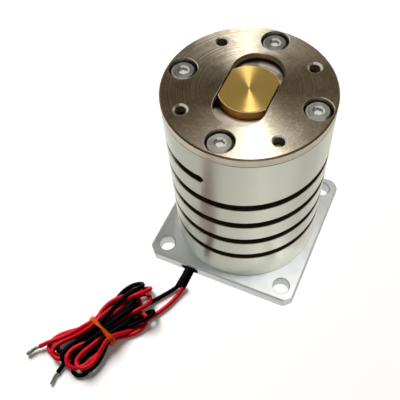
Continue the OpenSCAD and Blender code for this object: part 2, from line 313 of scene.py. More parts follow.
def nearest(m, centres, diagonal):
    """Distance in the plane to the nearest of four places on the axes or on the diagonals, and how far round its upper side."""
    x, y, z = m.xyz()
    ax, ay = m.math("ABSOLUTE", x), m.math("ABSOLUTE", y)
    if diagonal:
        k = centres * math.sqrt(0.5)
        cx, cy = m.math("MULTIPLY", m.math("SIGN", x), k), m.math("MULTIPLY", m.math("SIGN", y), k)
    else:
        along_x = m.math("GREATER_THAN", ax, ay)
        cx = m.math("MULTIPLY", m.math("MULTIPLY", m.math("SIGN", x), along_x), centres)
        cy = m.math("MULTIPLY", m.math("MULTIPLY", m.math("SIGN", y), m.math("SUBTRACT", 1.0, along_x)), centres)
    dx, dy = m.math("SUBTRACT", x, cx), m.math("SUBTRACT", y, cy)
    d = m.math("SQRT", m.math("ADD", m.math("MULTIPLY", dx, dx), m.math("MULTIPLY", dy, dy)))
    toward = m.math("ADD", m.math("MULTIPLY", dx, 0.50), m.math("MULTIPLY", dy, 0.87))
    return d, m.math("DIVIDE", toward, d)


def round_about(m, stops):
    """A value that changes with the direction from the middle; stops are degrees from -180 to 180."""
    x, y, z = m.xyz()
    turn = m.math("MULTIPLY_ADD", m.math("ARCTAN2", y, x), 0.5 / math.pi, 0.5)
    return m.ramp(turn, *[((a + 180) / 360, (k, k, k)) for a, k in stops])


def cover_tint(m, colour, r, z):
    """Painted light and shade on the cover: sectors round the axis are lightened as painted highlight and darkened as
    painted shade, the deep recesses get painted shade, the chamfer round the top edge a painted dark reflection and the
    joint below it a painted shadow; the edges of holes carry a faint ring of wear and, on their upper side, a painted
    glint.
    """
    top = m.step(z, 0.0565, 0.0002)
    # painted highlight and painted shade: sectors of the face round the axis are lightened towards pale cream and
    # darkened, standing in for the reflection of the lamps
    painted_highlight_sectors = round_about(m, [(-180, 0.0), (-132, 0.05), (-118, 1.0), (-98, 1.0), (-84, 0.4), (-72, 0.05), (-44, 0.25), (-30, 0.95), (-12, 1.0), (2, 1.0),
                             (14, 0.35), (30, 0.2), (44, 0.15), (58, 0.75), (68, 0.4), (80, 0.0), (180, 0.0)])
    painted_shade_sectors = round_about(m, [(-180, 0.35), (-166, 0.35), (-150, 0.3), (-138, 0.0), (108, 0.0), (122, 0.45), (138, 0.85), (162, 0.6), (180, 0.35)])
    colour = m.blend(m.math("MULTIPLY", painted_highlight_sectors, top), colour, (1.0, 0.93, 0.745))
    colour = m.blend(m.math("MULTIPLY", painted_shade_sectors, top), colour, (0.30, 0.265, 0.205))
    # a mottled face with broken arcs of the tool's marks
    mott = m.math("MULTIPLY", m.math("MULTIPLY", m.step(m.noise(1250.0, 3.0, 0.7), 0.46, 0.16), 0.36), top)
    colour = m.blend(mott, colour, (0.37, 0.315, 0.225))
    arcs = m.math("MULTIPLY", m.step(m.noise(2.4, 2.0, 0.7, w=m.math("MULTIPLY", r, 1000.0)), 0.50, 0.12), m.step(m.noise(230.0, 3.0, 0.6), 0.47, 0.12))
    colour = m.blend(m.math("MULTIPLY", m.math("MULTIPLY", arcs, 0.40), top), colour, (0.97, 0.90, 0.76))
    screw, s_side = nearest(m, 0.01615, False)
    load, l_side = nearest(m, 0.01615, True)
    # rings round the counterbores and the load holes: a faint ring of wear all round, and a painted glint, pale and not
    # metallic, strongest on their upper side
    wear_and_glint = m.math("MULTIPLY", m.step(screw, 0.00330, 0.00008), m.step(screw, 0.00352, -0.00016))
    wear_and_glint = m.math("MULTIPLY", wear_and_glint, m.math("ADD", 0.15, m.math("MULTIPLY", m.step(s_side, 0.80, 0.14), 0.85)))
    hole_wear_and_glint = m.math("MULTIPLY", m.step(load, 0.00128, 0.00008), m.step(load, 0.00178, -0.00016))
    wear_and_glint = m.math("MAXIMUM", wear_and_glint, m.math("MULTIPLY", hole_wear_and_glint, m.math("ADD", 0.25, m.math("MULTIPLY", m.step(l_side, 0.45, 0.3), 0.75))))
    wear_and_glint = m.math("MULTIPLY", wear_and_glint, top)
    colour = m.blend(wear_and_glint, colour, (1.0, 0.98, 0.94))
    m.set(Metallic=m.math("SUBTRACT", 1.0, wear_and_glint))
    inside = m.step(r, 0.0197, -0.0001)
    # painted shade: surfaces low inside the cover, the counterbore floors, the lower walls of the rounded slot and the
    # holes, are coloured nearly black
    deep = m.math("MULTIPLY", m.step(z, 0.0556, -0.0004), inside)
    colour = m.blend(deep, colour, (0.035, 0.028, 0.018))
    outer = m.math("SUBTRACT", 1.0, inside)
    # painted shadow: a thin dark band along the cover's lower outer edge, at the joint with the wall
    colour = m.blend(m.math("MULTIPLY", m.step(z, 0.05474, -0.00008), outer), colour, (0.05, 0.04, 0.03))
    # painted reflection: the chamfer round the top edge is darkened as if it mirrored the dark room
    painted_dark_bevel = m.math("MULTIPLY", m.step(r, 0.01962, 0.00006), m.step(z, 0.05668, 0.00006))
    return m.blend(painted_dark_bevel, colour, (0.26, 0.19, 0.12))


def spring_tint(m, colour, r, z):
    """Painted reflections on the wall: a broad darker band down one side and lighter stretches beside it, set by the
    direction round the axis.
    """
    # painted reflection: darker and lighter bands round the wall, where nearby dark parts and the pale floor would be
    # mirrored
    painted_dark_reflection = round_about(m, [(-150, 0.0), (-136, 0.10), (-121, 0.72), (-107, 0.80), (-92, 0.35), (-76, 0.20), (-56, 0.0), (-44, 0.0), (-30, 0.30), (-12, 0.0)])
    painted_light_reflection = round_about(m, [(-84, 0.0), (-70, 0.55), (-60, 1.0), (-50, 0.75), (-40, 0.6), (-30, 0.1), (-20, 0.1), (-10, 0.55), (2, 0.8), (12, 0.6), (26, 0.0)])
    colour = m.blend(painted_light_reflection, colour, (0.645, 0.65, 0.555))
    return m.blend(painted_dark_reflection, colour, (0.405, 0.408, 0.348))


def carrier_tint(m, colour, r, z):
    """Polished floor of the rounded slot: painted dark reflections in warm patches and painted shade, nearly black, in
    one corner.
    """
    x, y, h = m.xyz()

    def spot(cx, cy, size):
        dx, dy = m.math("SUBTRACT", x, cx * MM), m.math("SUBTRACT", y, cy * MM)
        d = m.math("SQRT", m.math("ADD", m.math("MULTIPLY", dx, dx), m.math("MULTIPLY", dy, dy)))
        return m.step(m.math("ADD", d, m.math("MULTIPLY", m.noise(420.0, 3.0, 0.6), 0.0012)), (size + 0.6) * MM, -1.1 * MM)

    # painted reflection: warm dark patches on the floor
    painted_dark_patches = m.math("MAXIMUM", spot(-3.6, -6.3, 1.3), m.math("MAXIMUM", spot(-3.2, 10.2, 1.7), spot(4.7, 8.1, 1.1)))
    colour = m.blend(m.math("MULTIPLY", painted_dark_patches, 0.65), colour, (0.24, 0.15, 0.07))
    # painted shade: one corner of the floor nearly black
    return m.blend(spot(-5.8, -4.2, 2.3), colour, (0.012, 0.009, 0.006))


def brass_tint(m, colour, r, z):
    """Faced end in the plain brass colour; the side below its broken edge is painted as a warmer, shaded brass, and the
    broken edge itself carries a painted highlight, pale and not metallic.
    """
    # painted shade: the side below the top is a warmer, darker copy of the brass
    colour = m.blend(m.step(z, 0.05678, -0.00006), colour, (1.0, 0.46, 0.08))
    # painted highlight: a pale, not metallic line along the broken edge
    edge = m.math("MULTIPLY", m.step(z, 0.05680, 0.00006), m.step(z, 0.05698, -0.00004))
    m.set(Metallic=m.span(edge, 0.62, 0.0, 0.0, 1.0))
    return m.blend(edge, colour, (1.0, 0.90, 0.55))


def blasted(name, col, rough=0.5, metallic=1.0, scale=3800.0, strength=0.35, edge=None):
    """Bead-blasted and anodised metal: an even fine grain with cloudy variation."""
    m = Mat(name, Metallic=metallic)
    grain = m.noise(scale, 2.0, 0.6)
    cloud = m.noise(90.0, 4.0, 0.6)
    scuff = m.noise(420.0, 5.0, 0.7)
    tone = m.math("ADD", m.math("MULTIPLY", grain, 0.35), m.math("ADD", m.math("MULTIPLY", cloud, 0.4), m.math("MULTIPLY", scuff, 0.25)))
    colour = m.ramp(tone, (0.32, shade(col, 0.93)), (0.5, col), (0.7, shade(col, 1.05)))
    if edge:
        # painted shade: cut faces below the top, the plate's sides and the walls of its holes, are a little darker
        x, y, z = m.xyz()
        colour = m.blend(m.step(z, edge, -0.0002), colour, shade(col, 0.74))
    m.set(Base_Color=colour)
    m.set(Roughness=m.span(m.math("ADD", m.math("MULTIPLY", scuff, 0.5), m.math("MULTIPLY", cloud, 0.5)), rough - 0.07, rough + 0.07))
    m.set(Normal=m.bump(scuff, 0.05, 0.00004, m.bump(grain, strength, 0.00003)))
    return m.m


def rubbery(name, col, rough=0.5, scale=1500.0, strength=0.25, spec=0.4, lighter=1.6, coat=0.0):
    """Moulded or extruded polymer: soft mottling, a fine skin grain, slightly uneven gloss."""
    m = Mat(name, Specular_IOR_Level=spec)
    grain = m.noise(scale, 3.0, 0.6)
    mott = m.noise(220.0, 4.0, 0.6)
    m.set(Base_Color=m.ramp(mott, (0.3, shade(col, 0.8)), (0.55, col), (0.8, shade(col, lighter))))
    m.set(Roughness=m.span(m.math("ADD", m.math("MULTIPLY", grain, 0.4), m.math("MULTIPLY", mott, 0.6)), rough - 0.08, rough + 0.08))
    m.set(Normal=m.bump(grain, strength, 0.00003))
    if coat:
        m.b.inputs["Coat Weight"].default_value = coat
        m.b.inputs["Coat Roughness"].default_value = 0.15
    return m.m


def screw_metal(name, col, centres, rough=0.40):
    """Plated screws: turned marks round each screw's own axis, set by the place of the nearest one on the axes."""
    m = Mat(name, Metallic=1.0, Anisotropic=0.15)
    x, y, z = m.xyz()
    ax, ay = m.math("ABSOLUTE", x), m.math("ABSOLUTE", y)
    big, small = m.math("MAXIMUM", ax, ay), m.math("MINIMUM", ax, ay)
    d = m.math("SUBTRACT", big, centres)
    r = m.math("SQRT", m.math("ADD", m.math("MULTIPLY", d, d), m.math("MULTIPLY", small, small)))
    w = m.math("MULTIPLY", m.math("ADD", r, z), 1000.0)
    fine = m.noise(6.0, 2.0, 0.7, w=w)
    blot = m.noise(500.0, 4.0, 0.65)
    tone = m.math("ADD", m.math("MULTIPLY", fine, 0.5), m.math("MULTIPLY", blot, 0.5))
    colour = m.ramp(tone, (0.32, shade(col, 0.82)), (0.5, col), (0.7, shade(col, 1.12)))
    # painted highlights: the socket's floor, the upper side of the socket's broken edge and the near, lower side of the
    # head's chamfer are pale and not metallic, standing in for glints
    away, upper = nearest(m, centres, False)
    painted_glints = m.math("MULTIPLY", m.step(z, 0.05562, -0.00004), m.step(away, 0.00125, -0.0001))
    lip = m.math("MULTIPLY", m.math("MULTIPLY", m.step(z, 0.05628, 0.00004), m.step(away, 0.00142, -0.00004)), m.step(upper, 0.1, 0.4))
    rim = m.math("MULTIPLY", m.math("MULTIPLY", m.step(z, 0.05618, 0.00004), m.step(away, 0.00244, 0.00004)), m.step(upper, -0.1, -0.5))
    painted_glints = m.math("MAXIMUM", painted_glints, m.math("MAXIMUM", lip, m.math("MULTIPLY", rim, 0.7)))
    m.set(Base_Color=m.blend(painted_glints, colour, (1.0, 1.0, 0.97)), Metallic=m.math("SUBTRACT", 1.0, painted_glints))
    m.set(Roughness=m.span(blot, rough - 0.06, rough + 0.1))
    # stretch along the direction away from the screw's own axis
    along_x = m.math("GREATER_THAN", ax, ay)
    along_y = m.math("SUBTRACT", 1.0, along_x)
    cx = m.math("MULTIPLY", m.math("MULTIPLY", m.math("SIGN", x), along_x), centres)
    cy = m.math("MULTIPLY", m.math("MULTIPLY", m.math("SIGN", y), along_y), centres)
    v = m.put(m.new("ShaderNodeCombineXYZ"), i0=m.math("SUBTRACT", x, cx), i1=m.math("SUBTRACT", y, cy), i2=0.00001).outputs[0]
    m.set(Tangent=v, Normal=m.bump(fine, 0.25, 0.00003, m.bump(blot, 0.08, 0.00004)))
    return m.m


def wire_skin(name, col, deep, pale, rough=0.34, spec=0.3):
    """Extruded insulation: slight draw lines, handling marks, a soft gloss."""
    m = Mat(name, Specular_IOR_Level=spec)
    mott = m.noise(520.0, 4.0, 0.6)
    fine = m.noise(5200.0, 2.0, 0.6)
    wear_and_glint = m.noise(150.0, 3.0, 0.6)
    tone = m.math("ADD", m.math("MULTIPLY", mott, 0.6), m.math("MULTIPLY", wear_and_glint, 0.4))
    m.set(Base_Color=m.ramp(tone, (0.30, deep), (0.52, col), (0.78, pale)))
    m.set(Roughness=m.span(m.math("ADD", m.math("MULTIPLY", fine, 0.4), m.math("MULTIPLY", wear_and_glint, 0.6)), rough - 0.08, rough + 0.12))
    m.set(Normal=m.bump(mott, 0.10, 0.00004, m.bump(fine, 0.18, 0.00001)))
    return m.m


def band_rubber(name):
    """Thin stretched rubber: orange, lets light through, paler in patches."""
    m = Mat(name, Specular_IOR_Level=0.07, Subsurface_Weight=0.3, Subsurface_Radius=(0.0012, 0.0006, 0.0002), Alpha=0.40)
    mott = m.noise(700.0, 4.0, 0.6)
    fine = m.noise(3800.0, 2.0, 0.5)
    m.set(Base_Color=m.ramp(mott, (0.28, (0.70, 0.06, 0.001)), (0.5, (0.90, 0.12, 0.002)), (0.75, (1.0, 0.24, 0.008))))
    m.set(Roughness=m.span(mott, 0.32, 0.5), Normal=m.bump(fine, 0.2, 0.00002))
    return m.m


def tinned(name):
    m = Mat(name, Metallic=0.45)
    a = m.noise(900.0, 4.0, 0.65)
    b = m.noise(3600.0, 2.0, 0.6)
    m.set(Base_Color=m.ramp(a, (0.3, (0.17, 0.175, 0.15)), (0.5, (0.34, 0.345, 0.30)), (0.75, (0.70, 0.69, 0.62))))
    m.set(Roughness=m.span(b, 0.25, 0.5), Normal=m.bump(a, 0.3, 0.00005))
    return m.m


def copper_wire(name):
    m = Mat(name, Metallic=1.0, Coat_Weight=0.6, Coat_Roughness=0.12)
    a = m.noise(700.0, 3.0, 0.6)
    b = m.noise(2500.0, 2.0, 0.6)
    m.set(Base_Color=m.ramp(a, (0.3, (0.50, 0.17, 0.06)), (0.5, (0.66, 0.26, 0.10)), (0.72, (0.78, 0.36, 0.16))))
    m.set(Roughness=m.span(b, 0.22, 0.38), Normal=m.bump(b, 0.1, 0.00002))
    return m.m


M = {}
# edge=0.0038 is the height below which the plate's faces get painted shade
M["base"] = blasted("base_aluminium", (0.72, 0.745, 0.735), rough=0.42, metallic=0.80, strength=0.22, edge=0.0038)
M["spring"] = turned("spring_nickel", (0.51, 0.515, 0.44), rough=0.34, aniso=0.75, marks=4.0, depth=0.6, spread=0.05, tint=spring_tint)
# painted shade: the slot's cut faces and the inner wall are coloured dark, standing in for the shade inside the slots
M["cut"] = blasted("slot_painted_shade", (0.100, 0.098, 0.068), rough=0.6, metallic=0.2)
M["cover"] = turned("cover_nickel", (0.62, 0.572, 0.46), rough=0.405, aniso=0.85, marks=5.5, depth=1.5, spread=0.30, tint=cover_tint)
M["screw"] = screw_metal("screw_steel", (0.31, 0.31, 0.295), 0.01615)
M["black_screw"] = blasted("black_screw", (0.035, 0.035, 0.037), rough=0.42, metallic=0.6)
M["brass"] = turned("brass", (0.90, 0.63, 0.19), rough=0.23, aniso=0.93, marks=5.5, depth=0.5, spread=0.07, metallic=0.62, tint=brass_tint)
M["nut"] = turned("nut_steel", (0.50, 0.50, 0.49), rough=0.32, aniso=0.6, marks=4.5, depth=0.6, spread=0.07)
M["carrier"] = turned("carrier_nickel", (0.82, 0.77, 0.67), rough=0.34, aniso=0.3, marks=1.6, depth=0.12, spread=0.10, stain=0.10, tint=carrier_tint)
# painted shade: the threads in the tapped holes are coloured dark, standing in for the shade in the holes
M["thread"] = turned("thread_painted_shade", (0.26, 0.23, 0.18), rough=0.30, aniso=0.3, marks=5.0, depth=0.4, spread=0.10)
M["bush"] = rubbery("bush_polymer", (0.62, 0.58, 0.48), rough=0.5, lighter=1.1)
M["magnet"] = turned("magnet_nickel", (0.62, 0.61, 0.58), rough=0.2, aniso=0.2, marks=3.0, depth=0.3, spread=0.05)
M["pole"] = turned("pole_steel", (0.50, 0.50, 0.50), rough=0.35, aniso=0.7, marks=4.0, depth=0.8, spread=0.08)
M["spacer"] = turned("spacer_aluminium", (0.76, 0.77, 0.78), rough=0.36, aniso=0.6, marks=4.0, depth=0.6, spread=0.06)
M["bobbin"] = rubbery("bobbin_plastic", (0.03, 0.03, 0.032), rough=0.48)
M["copper"] = copper_wire("coil_copper")
M["bumper"] = rubbery("bumper_rubber", (0.022, 0.022, 0.023), rough=0.62)
M["grommet"] = rubbery("grommet_rubber", (0.003, 0.003, 0.004), rough=0.6, scale=1900.0, spec=0.05)
M["sleeve"] = rubbery("sleeve_black", (0.0012, 0.0012, 0.002), rough=0.6, scale=2400.0, lighter=1.8, spec=0.035)
M["red"] = wire_skin("lead_red", (0.66, 0.003, 0.016), (0.50, 0.002, 0.010), (0.76, 0.010, 0.030), rough=0.42, spec=0.12)
M["black"] = wire_skin("lead_black", (0.0015, 0.0015, 0.002), (0.001, 0.001, 0.0015), (0.004, 0.004, 0.005), rough=0.46, spec=0.035)
M["band"] = band_rubber("band_orange")
M["tin"] = tinned("tinned_wire")

# ---------------------------------------------------------------- the two leads, folded and tied

LEAD_D = 1.2
HANK_AT = np.array([-22.5, -48.0])
HANK_A = math.radians(-112.1)
HANK_D = np.array([math.cos(HANK_A), math.sin(HANK_A)])
HANK_N = np.array([-math.sin(HANK_A), math.cos(HANK_A)])


def to_hank(p):
    p = np.asarray(p, float)
    q = p[..., :2] - HANK_AT
    return np.stack([q @ HANK_D, q @ HANK_N, p[..., 2]], -1)


def from_hank(p):
    p = np.asarray(p, float)
    xy = HANK_AT + p[..., :1] * HANK_D + p[..., 1:2] * HANK_N
    return np.concatenate([xy, p[..., 2:3]], -1)


def smooth_line(ctrl, n=24):
    """A centripetal spline through the control points."""
    P = np.asarray(ctrl, float)
    P = np.vstack([2 * P[0] - P[1], P, 2 * P[-1] - P[-2]])
    out = []
    for i in range(1, len(P) - 2):
        p0, p1, p2, p3 = P[i - 1:i + 3]
        t0 = 0.0
        t1 = t0 + np.linalg.norm(p1 - p0) ** 0.5
        t2 = t1 + np.linalg.norm(p2 - p1) ** 0.5
        t3 = t2 + np.linalg.norm(p3 - p2) ** 0.5
        t = np.linspace(t1, t2, n, endpoint=False)[:, None]
        a1 = (t1 - t) / (t1 - t0) * p0 + (t - t0) / (t1 - t0) * p1
        a2 = (t2 - t) / (t2 - t1) * p1 + (t - t1) / (t2 - t1) * p2
        a3 = (t3 - t) / (t3 - t2) * p2 + (t - t2) / (t3 - t2) * p3
        b1 = (t2 - t) / (t2 - t0) * a1 + (t - t0) / (t2 - t0) * a2
        b2 = (t3 - t) / (t3 - t1) * a2 + (t - t1) / (t3 - t1) * a3
        out.append((t2 - t) / (t2 - t1) * b1 + (t - t1) / (t2 - t1) * b2)
    return np.vstack(out + [P[-2:-1]])


def arc_length(line):
    return np.concatenate([[0], np.cumsum(np.linalg.norm(np.diff(line, axis=0), axis=1))])


def resample(line, h):
    s = arc_length(line)
    at = np.linspace(0, s[-1], int(round(s[-1] / h)) + 1)
    return np.stack([np.interp(at, s, line[:, k]) for k in range(3)], 1), s


# Where a strand passes through the band: row (top, middle, bottom) and place across it
ROW = {"T": 3.5, "M": 2.45, "B": 1.4}


def band_place(name):
    off = -0.31 if name[0] == "M" else 0.31
    return ((int(name[1]) - 2.5) * 1.24 + off, ROW[name[0]])


def lead_route(lead, passes, low, high, tail):
    """Control points of one lead and the ones that the hand pressed it to, with their weight.
    A loop is its tip (s, t, z), the half-opening towards the strand that leaves it, and points on the way in and out."""
    pts = [tuple(p) for p in lead]
    marks = [(i, 0.9) for i in range(2, len(pts))]
    for k, name in enumerate(passes):
        t, z = band_place(name)
        down = k % 2 == 0
        pts.append((0.0, t, z)); marks.append((len(pts) - 1, 0.5))
        if k == len(passes) - 1:
            break
        (s0, t0, z0), (dt, dz), (way_in, way_out) = (low if down else high)[k // 2]
        sg = 1 if down else -1
        rr = math.hypot(dt, dz)
        if way_in:
            pts.append(way_in); marks.append((len(pts) - 1, 0.8))
        pts.append((s0 - sg * rr * 1.9, t0 - dt, z0 - dz))
        pts.append((s0 - sg * rr * 0.45, t0 - dt * 0.92, z0 - dz * 0.92)); marks.append((len(pts) - 1, 1.0))
        pts.append((s0, t0, z0)); marks.append((len(pts) - 1, 1.0))
        pts.append((s0 - sg * rr * 0.45, t0 + dt * 0.92, z0 + dz * 0.92)); marks.append((len(pts) - 1, 1.0))
        pts.append((s0 - sg * rr * 1.9, t0 + dt, z0 + dz))
        if way_out:
            pts.append(way_out); marks.append((len(pts) - 1, 0.8))
    for v in tail:
        pts.append(tuple(v)); marks.append((len(pts) - 1, 1.0))
    return np.array(pts, float), marks


RED_OUT = to_hank([[-7.95, -26.6, 1.4], [-7.95, -28.4, 1.4], [-8.15, -30.4, 1.35], [-8.9, -33, 1.2], [-10.2, -36, 1.1], [-11.8, -38.4, 1.2], [-13.6, -40.6, 1.8]])
BLACK_OUT = to_hank([[-9.28, -26.6, 1.4], [-9.35, -28.0, 1.4], [-10.68, -29.6, 1.2], [-12.0, -31.6, 1.0], [-13.25, -33.6, 1.2], [-14.1, -35.0, 1.8]])

RED = dict(
    lead=list(RED_OUT) + [(-6.4, 4.9, 2.2)],
    passes=["T5", "M3", "M4", "B5", "B4", "T0", "M1", "B0", "M0"],
    low=[((11.1, 2.7, 2.1), (-2.2, 0.3), ((5.2, 5.0, 2.6), (4.5, 1.1, 2.7))),
         ((13.3, 0.6, 1.7), (1.8, -0.5), (None, None)),
         ((14.6, -2.4, 1.7), (-1.9, 0.7), (None, (5, -3.6, 3.1))),
         ((14.8, -5.9, 1.0), (1.5, -0.3), ((6, -4.4, 1.8), None))],
    high=[((-16.4, 0.5, 2.6), (-0.9, -1.8), (None, None)),
          ((-12.3, 4.2, 1.3), (-1.6, -0.4), ((-5, 4.4, 1.0), None)),
          ((-18.1, -0.7, 2.6), (-0.9, -1.8), ((-6, -4.1, 3.2), None)),
          ((-13.4, -1.6, 0.8), (-1.9, 0.2), ((-7, -3.6, 1.0), (-6, -4.6, 1.8)))],
    tail=[(4, -4.5, 3.1), (8.3, -5.6, 3.0), (12.2, -7.5, 2.6), (15.2, -9.0, 1.9)])
BLACK = dict(
    lead=list(BLACK_OUT) + [(-9, 2.4, 3.4)],
    passes=["T4", "M5", "T3", "B3", "T2", "T1", "B1", "M2", "B2"],
    low=[((11.0, 3.1, 0.7), (1.8, -0.1), (None, None)),
         ((13.6, 2.3, 0.7), (1.8, -0.1), (None, None)),
         ((13.0, -1.2, 1.7), (-1.6, 0.9), (None, None)),
         ((12.7, -4.7, 1.4), (-1.7, 0.4), (None, None))],
    high=[((-14.2, 4.1, 2.2), (-0.9, -1.5), (None, None)),
          ((-12.8, 0.6, 2.2), (0.5, 1.6), (None, None)),
          ((-17.4, -2.5, 2.7), (-0.9, -1.8), ((-7, -2.0, 3.7), None)),
          ((-14.6, -2.0, 2.0), (-0.7, -1.5), (None, None))],
    tail=[(5, -0.7, 1.4), (9.6, -0.5, 0.8), (12.2, -0.3, 0.7), (14.2, 0.1, 0.65), (16.0, 0.6, 0.65)])


def relax_leads(iters, h=0.6, rmin=2.2):
    """Settles both leads as one pile: fixed length, stiffness, contact a diameter apart, the table and the band."""
    D, R = LEAD_D, LEAD_D / 2
    lines, targets, first = [], [], [0]
    for W in (RED, BLACK):
        ctrl, marks = lead_route(**W)
        pts, s = resample(smooth_line(ctrl), h)
        for i, w in marks:
            at = s[min(i * 24, len(s) - 1)]
            targets.append((first[-1] + int(round(at / s[-1] * (len(pts) - 1))), ctrl[i], w))
        lines.append(pts)
        first.append(first[-1] + len(pts))
    p = np.vstack(lines)
    n = len(p)
    wire = np.concatenate([np.full(len(w), k) for k, w in enumerate(lines)])
    rest = np.concatenate([np.full(len(w), np.linalg.norm(np.diff(w, axis=0), axis=1).mean()) for w in lines])
    pin = np.zeros(n, bool)
    for k in range(2):
        pin[first[k]:first[k] + int(round(1.2 / rest[first[k]]))] = True
    pinned = p[pin].copy()
    ti = np.array([t[0] for t in targets])
    tp = np.array([t[1] for t in targets])
    tw = np.array([t[2] for t in targets])[:, None]
    seg = np.array([i for i in range(n - 1) if wire[i] == wire[i + 1]])
    mid = np.array([i for i in range(1, n - 1) if wire[i - 1] == wire[i + 1]])
    m = 4
    far = np.array([i for i in range(m, n - m) if wire[i - m] == wire[i + m]])
    even, odd = seg[seg % 2 == 0], seg[seg % 2 == 1]
    guard = int(math.ceil(2.2 * D / h))
    lim = 0.5 * h * h / rmin
    lim4 = rmin * (1 - math.cos(min(m * h / rmin, math.pi)))
    bulbs = []
    for k in (1, 2, 3, 4):
        where = np.array([i for i in range(k, n - k) if wire[i - k] == wire[i + k]])
        bulbs.append((k, where, 2 * 1.5 * math.sin(min(k * h / 1.5, 1.57))))
    pi_, pj_ = None, None
    for it in range(iters):
        f = it / iters
        if it % 6 == 0:
            d2 = ((p[:, None, :] - p[None, :, :]) ** 2).sum(-1)
            i, j = np.nonzero(d2 < (D * 1.45) ** 2)
            ok = (j > i) & ((wire[i] != wire[j]) | (j - i > guard))
            pi_, pj_ = i[ok], j[ok]
        # weight, and the hand that shaped the hank
        p[:, 2] -= 0.004
        pull = 0.06 * max(1 - f / 0.6, 0) ** 2 + 0.008 * (f < 0.93)
        p[ti] += pull * tw * (tp - p[ti])
        # stiffness, firm where a fold is tighter than the lead takes
        mv = np.zeros_like(p)
        for where, step, soft, hard, limit in ((mid, 1, 0.06, 0.5, lim), (far, m, 0.05, 0.6, lim4)):
            lap = 0.5 * (p[where - step] + p[where + step]) - p[where]
            bend = np.linalg.norm(lap, axis=1)
            g = np.where(bend > limit, hard * (1 - limit / np.maximum(bend, 1e-9)) + soft, soft)[:, None]
            mv[where] += 0.5 * g * lap
            np.add.at(mv, where - step, -0.25 * g * lap)
            np.add.at(mv, where + step, -0.25 * g * lap)
        p += mv
        # a fold opens into a small bulb
        for k, where, least in bulbs:
            v = p[where + k] - p[where - k]
            dist = np.maximum(np.linalg.norm(v, axis=1), 1e-6)
            dv = v / dist[:, None] * (0.22 * np.maximum(least - dist, 0))[:, None]
            np.add.at(p, where + k, dv)
            np.add.at(p, where - k, -dv)
        # contact
        for _ in range(2):
            v = p[pj_] - p[pi_]
            dist = np.maximum(np.linalg.norm(v, axis=1), 1e-6)
            push = np.maximum(D * 1.01 - dist, 0)
            hit = push > 0
            if hit.any():
                ii, jj = pi_[hit], pj_[hit]
                dv = (v[hit] / dist[hit][:, None]) * (push[hit] * 0.5)[:, None]
                acc = np.zeros_like(p)
                for c in range(3):
                    acc[:, c] += np.bincount(jj, dv[:, c], n) - np.bincount(ii, dv[:, c], n)
                cnt = np.bincount(jj, minlength=n) + np.bincount(ii, minlength=n)
                p += acc / np.maximum(cnt, 1)[:, None] * 1.25
        # table
        p[:, 2] = np.maximum(p[:, 2], R)
        # band round the middle
        near = np.abs(p[:, 0]) < 1.4
        if near.any():
            p[near, 1] = np.clip(p[near, 1], -(4.2 - R), 4.2 - R)
            p[near, 2] = np.clip(p[near, 2], 0.6 + R, 4.3 - R)
        # length
        for _ in range(3):
            for e in (even, odd):
                v = p[e + 1] - p[e]
                l = np.linalg.norm(v, axis=1)
                c = (0.5 * (l - rest[e]) / np.maximum(l, 1e-9))[:, None] * v
                p[e] += c
                p[e + 1] -= c
        p[pin] = pinned
    out = []
    for k in range(2):
        q = p[first[k]:first[k + 1]].copy()
        for _ in range(4):
            q[1:-1] = 0.25 * q[:-2] + 0.5 * q[1:-1] + 0.25 * q[2:]
        q[:, 2] = np.maximum(q[:, 2], R + 0.01)
        out.append(q)
    return out


LEADS = relax_leads(1600)


def lead_curve(name, local, material):
    """One open curve with a round section."""
    line, _ = resample(smooth_line(from_hank(local), 4), 0.3)
    line[:, 2] = np.maximum(line[:, 2], LEAD_D / 2 + 0.01)
    cu = bpy.data.curves.new(name, "CURVE")
    cu.dimensions = "3D"
    cu.bevel_depth = LEAD_D / 2 * MM
    cu.bevel_resolution = 5
    cu.use_fill_caps = True
    cu.twist_mode = "MINIMUM"
    sp = cu.splines.new("POLY")
    sp.points.add(len(line) - 1)
    sp.points.foreach_set("co", np.hstack([line * MM, np.ones((len(line), 1))]).astype(np.float32).ravel())
    sp.use_smooth = True
    cu.materials.append(material)
    ob = bpy.data.objects.new(name, cu)
    scene.collection.objects.link(ob)
    return ob, line


red_wire, red_line = lead_curve("red_wire", LEADS[0], M["red"])
black_wire, black_line = lead_curve("black_wire", LEADS[1], M["black"])


def bare_end(name, start, back, goal, r0, r1, material, pitch):
    """Seven tinned strands twisted into one, as a lobed section that turns along its way."""
    start, goal = np.asarray(start, float), np.asarray(goal, float)
    out = start - np.asarray(back, float)
    out /= np.linalg.norm(out)
    span = np.linalg.norm(goal - start)
    bend = start + out * span * 0.35
    bend[2] = start[2] * 0.7 + goal[2] * 0.3
    ctrl = [start - out * 0.9, start, bend, start * 0.28 + goal * 0.72, goal]
    path, _ = resample(smooth_line(ctrl, 16), 0.12)
    s = arc_length(path)
    m = 42

    def section(i, f):
        turn = 2 * math.pi * s[i] / pitch
        r = r0 + (r1 - r0) * f
        if s[-1] - s[i] < r:
            e = (s[-1] - s[i]) / r
            r *= max(math.sqrt(max(1 - (1 - e) ** 2, 0.0)), 0.12)
        return [(r * (0.86 + 0.14 * abs(math.cos(3 * (2 * math.pi * k / m + turn)))) * math.cos(2 * math.pi * k / m),
                 r * (0.86 + 0.14 * abs(math.cos(3 * (2 * math.pi * k / m + turn)))) * math.sin(2 * math.pi * k / m)) for k in range(m)]

    return obj_from(name, *sweep(path, section), material, sharp=60)


red_bare = bare_end("red_bare_end", red_line[-1], red_line[-6], (-38.55, -61.6, 0.78), 0.46, 0.60, M["tin"], 6.0)
black_bare = bare_end("black_bare_end", black_line[-1], black_line[-6], (-28.3, -66.0, 0.60), 0.46, 0.34, M["tin"], 5.0)


